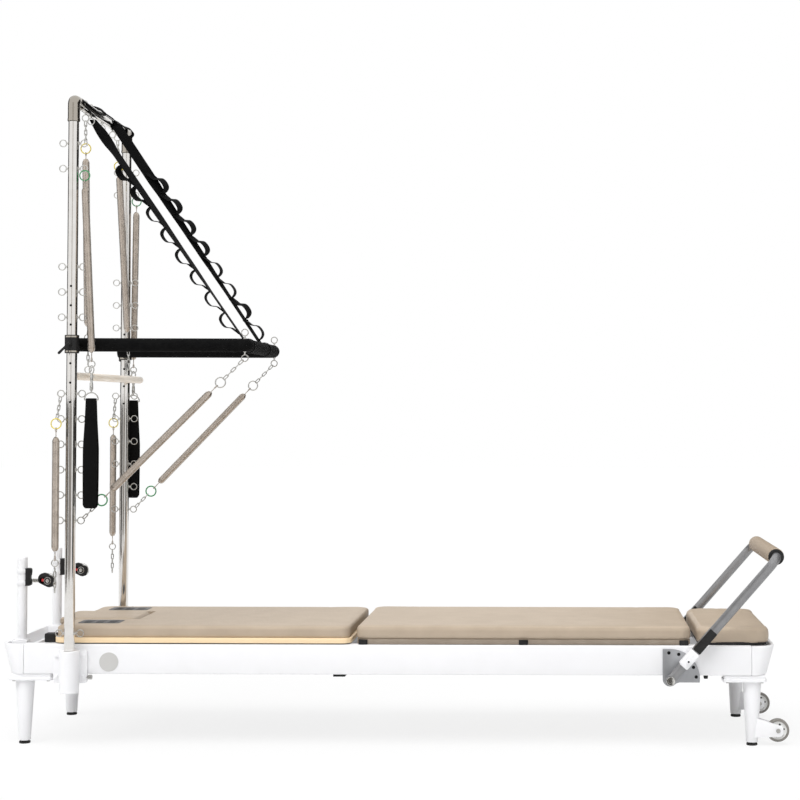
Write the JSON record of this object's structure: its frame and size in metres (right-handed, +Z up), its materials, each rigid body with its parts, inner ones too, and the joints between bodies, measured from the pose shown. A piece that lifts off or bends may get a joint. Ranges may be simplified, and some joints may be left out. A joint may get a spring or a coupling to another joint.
{
  "type": "pilates tower unit",
  "caption": "Low padded carriage bed on tapered legs with a foot bar at one end and a steel tower carrying a padded push-through bar, springs, foot straps and a roll-down bar at the other.",
  "frame": {"origin": "centre of the unit's box, on the floor", "axes": "+X from the tower at the head end to the foot bar at the foot end, +Y from the near rail to the far rail, +Z up"},
  "size_m": [2.5704, 0.783, 2.1169],
  "materials": {
    "white_paint": "satin white powder coat",
    "steel": "bright plated steel tube and wire",
    "dark_steel": "satin dark plated steel",
    "black_foam": "matt black foam sleeve over steel tube",
    "black_plastic": "moulded black",
    "webbing": "black woven webbing",
    "leather": "soft sand-coloured upholstery vinyl",
    "birch": "clear-coated birch plywood",
    "maple": "smooth pale maple",
    "rubber": "matt black",
    "wheel_plastic": "light grey moulded"
  },
  "bodies": {
    "frame": {"rail_near": "white_paint", "rail_far": "white_paint", "end_frame_head": "white_paint", "end_frame_foot": "white_paint", "cross_brace": "black_plastic", "leg_head_near": "white_paint", "leg_head_far": "white_paint", "leg_foot_near": "white_paint", "leg_foot_far": "white_paint", "foot_pad_head_near": "rubber", "foot_pad_head_far": "rubber", "foot_pad_foot_near": "rubber", "foot_pad_foot_far": "rubber", "tower_bracket_near": "white_paint", "tower_bracket_far": "white_paint", "tower_upright_near": "steel", "tower_upright_far": "steel", "tower_crossbar": "steel", "tower_elbow_near": "steel", "tower_elbow_far": "steel", "push_bar_collar_near": "steel", "push_bar_collar_far": "steel", "looped_strap_near": "webbing", "looped_strap_far": "webbing", "foot_bar_quadrant_near": "dark_steel", "foot_bar_quadrant_far": "dark_steel", "rope_riser_near": "white_paint", "rope_riser_far": "white_paint"},
    "transport_wheel_near": {"transport_wheel_near": "wheel_plastic"},
    "transport_wheel_far": {"transport_wheel_far": "wheel_plastic"},
    "push_through_bar": {"push_through_bar": "black_foam"},
    "push_bar_lock_pin_near": {"push_bar_lock_pin_near": "black_plastic"},
    "push_bar_lock_pin_far": {"push_bar_lock_pin_far": "black_plastic"},
    "push_spring_near": {"push_spring_near": "steel"},
    "push_spring_far": {"push_spring_far": "steel"},
    "push_spring_link_near": {"push_spring_link_near": "steel"},
    "push_spring_link_far": {"push_spring_link_far": "steel"},
    "leg_spring_near": {"leg_spring_near": "steel"},
    "leg_spring_far": {"leg_spring_far": "steel"},
    "foot_strap_near": {"foot_strap_spring_near": "steel", "foot_strap_near": "webbing"},
    "foot_strap_far": {"foot_strap_spring_far": "steel", "foot_strap_far": "webbing"},
    "roll_down_bar": {"roll_down_bar": "maple", "roll_down_spring_near": "steel", "roll_down_spring_far": "steel"},
    "carriage": {"carriage_deck": "birch", "carriage_pad": "leather"},
    "headrest": {"headrest": "leather"},
    "mat": {"mat_base": "black_plastic", "mat_cushion": "leather"},
    "foot_cushion": {"foot_cushion": "leather"},
    "foot_bar": {"foot_bar": "dark_steel", "foot_bar_grip": "leather"},
    "foot_bar_lock_pin_near": {"foot_bar_lock_pin_near": "steel"},
    "foot_bar_lock_pin_far": {"foot_bar_lock_pin_far": "steel"},
    "pulley_block_near": {"pulley_block_near": "black_plastic"},
    "pulley_block_far": {"pulley_block_far": "black_plastic"},
    "pulley_sheave_near": {"pulley_sheave_near": "wheel_plastic"},
    "pulley_sheave_far": {"pulley_sheave_far": "wheel_plastic"}
  },
  "joints": [
    {"name": "transport_wheel_near_spin", "type": "hinge", "parent": "frame", "child": "transport_wheel_near", "pos_m": [1.24775, -0.273, 0.0485], "axis": [0, 1, 0], "continuous": true},
    {"name": "transport_wheel_far_spin", "type": "hinge", "parent": "frame", "child": "transport_wheel_far", "pos_m": [1.24775, 0.273, 0.0485], "axis": [0, 1, 0], "continuous": true},
    {"name": "push_bar_swing", "type": "hinge", "parent": "frame", "child": "push_through_bar", "pos_m": [-1.04725, 0, 1.3], "axis": [0, -1, 0], "range_deg": [0, 45], "deforming": ["looped_strap_near", "looped_strap_far", "push_spring_near", "push_spring_far", "push_spring_link_near", "push_spring_link_far"]},
    {"name": "push_spring_near_turn", "type": "hinge", "parent": "frame", "child": "push_spring_near", "pos_m": [-1.01325, -0.345, 0.7295], "axis": [0, -1, 0], "range_deg": [0, 22]},
    {"name": "push_spring_far_turn", "type": "hinge", "parent": "frame", "child": "push_spring_far", "pos_m": [-1.01325, 0.345, 0.7295], "axis": [0, -1, 0], "range_deg": [0, 22]},
    {"name": "push_spring_near_stretch", "type": "slide", "parent": "push_spring_near", "child": "push_spring_link_near", "axis": [0.6993, 0, 0.7148], "range_m": [0, 0.27]},
    {"name": "push_spring_far_stretch", "type": "slide", "parent": "push_spring_far", "child": "push_spring_link_far", "axis": [0.6993, 0, 0.7148], "range_m": [0, 0.27]},
    {"name": "push_bar_lock_pin_near_pull", "type": "slide", "parent": "frame", "child": "push_bar_lock_pin_near", "axis": [0, -1, 0], "range_m": [0, 0.012]},
    {"name": "push_bar_lock_pin_far_pull", "type": "slide", "parent": "frame", "child": "push_bar_lock_pin_far", "axis": [0, 1, 0], "range_m": [0, 0.012]},
    {"name": "leg_spring_near_swing", "type": "hinge", "parent": "frame", "child": "leg_spring_near", "pos_m": [-1.08125, -0.345, 1.1285], "axis": [-1, 0, 0], "range_deg": [0, 45]},
    {"name": "leg_spring_far_swing", "type": "hinge", "parent": "frame", "child": "leg_spring_far", "pos_m": [-1.08125, 0.345, 1.1285], "axis": [1, 0, 0], "range_deg": [0, 45]},
    {"name": "foot_strap_near_swing", "type": "hinge", "parent": "frame", "child": "foot_strap_near", "pos_m": [-1.01325, -0.345, 1.859], "axis": [-1, 0, 0], "range_deg": [0, 45]},
    {"name": "foot_strap_far_swing", "type": "hinge", "parent": "frame", "child": "foot_strap_far", "pos_m": [-1.01325, 0.345, 1.859], "axis": [1, 0, 0], "range_deg": [0, 45]},
    {"name": "roll_down_swing", "type": "hinge", "parent": "frame", "child": "roll_down_bar", "pos_m": [-1.04725, 0, 2.047], "axis": [0, -1, 0], "range_deg": [0, 16]},
    {"name": "carriage_roll", "type": "slide", "parent": "frame", "child": "carriage", "axis": [1, 0, 0], "range_m": [-0.055, 0.004]},
    {"name": "headrest_tilt", "type": "hinge", "parent": "carriage", "child": "headrest", "pos_m": [-0.87825, 0, 0.366], "axis": [0, 1, 0], "range_deg": [0, 35]},
    {"name": "mat_lift", "type": "slide", "parent": "frame", "child": "mat", "axis": [0, 0, 1], "range_m": [0, 0.15]},
    {"name": "foot_cushion_lift", "type": "slide", "parent": "frame", "child": "foot_cushion", "axis": [0, 0, 1], "range_m": [0, 0.15]},
    {"name": "foot_bar_swing", "type": "hinge", "parent": "frame", "child": "foot_bar", "pos_m": [0.89375, 0, 0.2195], "axis": [0, -1, 0], "range_deg": [-44, 44]},
    {"name": "foot_bar_lock_pin_near_push", "type": "slide", "parent": "foot_bar", "child": "foot_bar_lock_pin_near", "axis": [0, 1, 0], "range_m": [0, 0.0059]},
    {"name": "foot_bar_lock_pin_far_push", "type": "slide", "parent": "foot_bar", "child": "foot_bar_lock_pin_far", "axis": [0, -1, 0], "range_m": [0, 0.0059]},
    {"name": "pulley_near_swivel", "type": "hinge", "parent": "frame", "child": "pulley_block_near", "pos_m": [-1.18, -0.2, 0.522], "axis": [1, 0, 0], "continuous": true},
    {"name": "pulley_far_swivel", "type": "hinge", "parent": "frame", "child": "pulley_block_far", "pos_m": [-1.18, 0.2, 0.522], "axis": [1, 0, 0], "continuous": true},
    {"name": "pulley_sheave_near_spin", "type": "hinge", "parent": "pulley_block_near", "child": "pulley_sheave_near", "pos_m": [-1.16025, -0.2, 0.522], "axis": [0, 1, 0], "continuous": true},
    {"name": "pulley_sheave_far_spin", "type": "hinge", "parent": "pulley_block_far", "child": "pulley_sheave_far", "pos_m": [-1.16025, 0.2, 0.522], "axis": [0, 1, 0], "continuous": true}
  ],
  "couplings": [
    {"joint": "push_spring_near_turn", "follows": "push_bar_swing", "ratio": 0.48609},
    {"joint": "push_spring_far_turn", "follows": "push_bar_swing", "ratio": 0.48609},
    {"joint": "push_spring_near_stretch", "follows": "push_bar_swing", "m_per_rad": 0.34087},
    {"joint": "push_spring_far_stretch", "follows": "push_bar_swing", "m_per_rad": 0.34087}
  ]
}
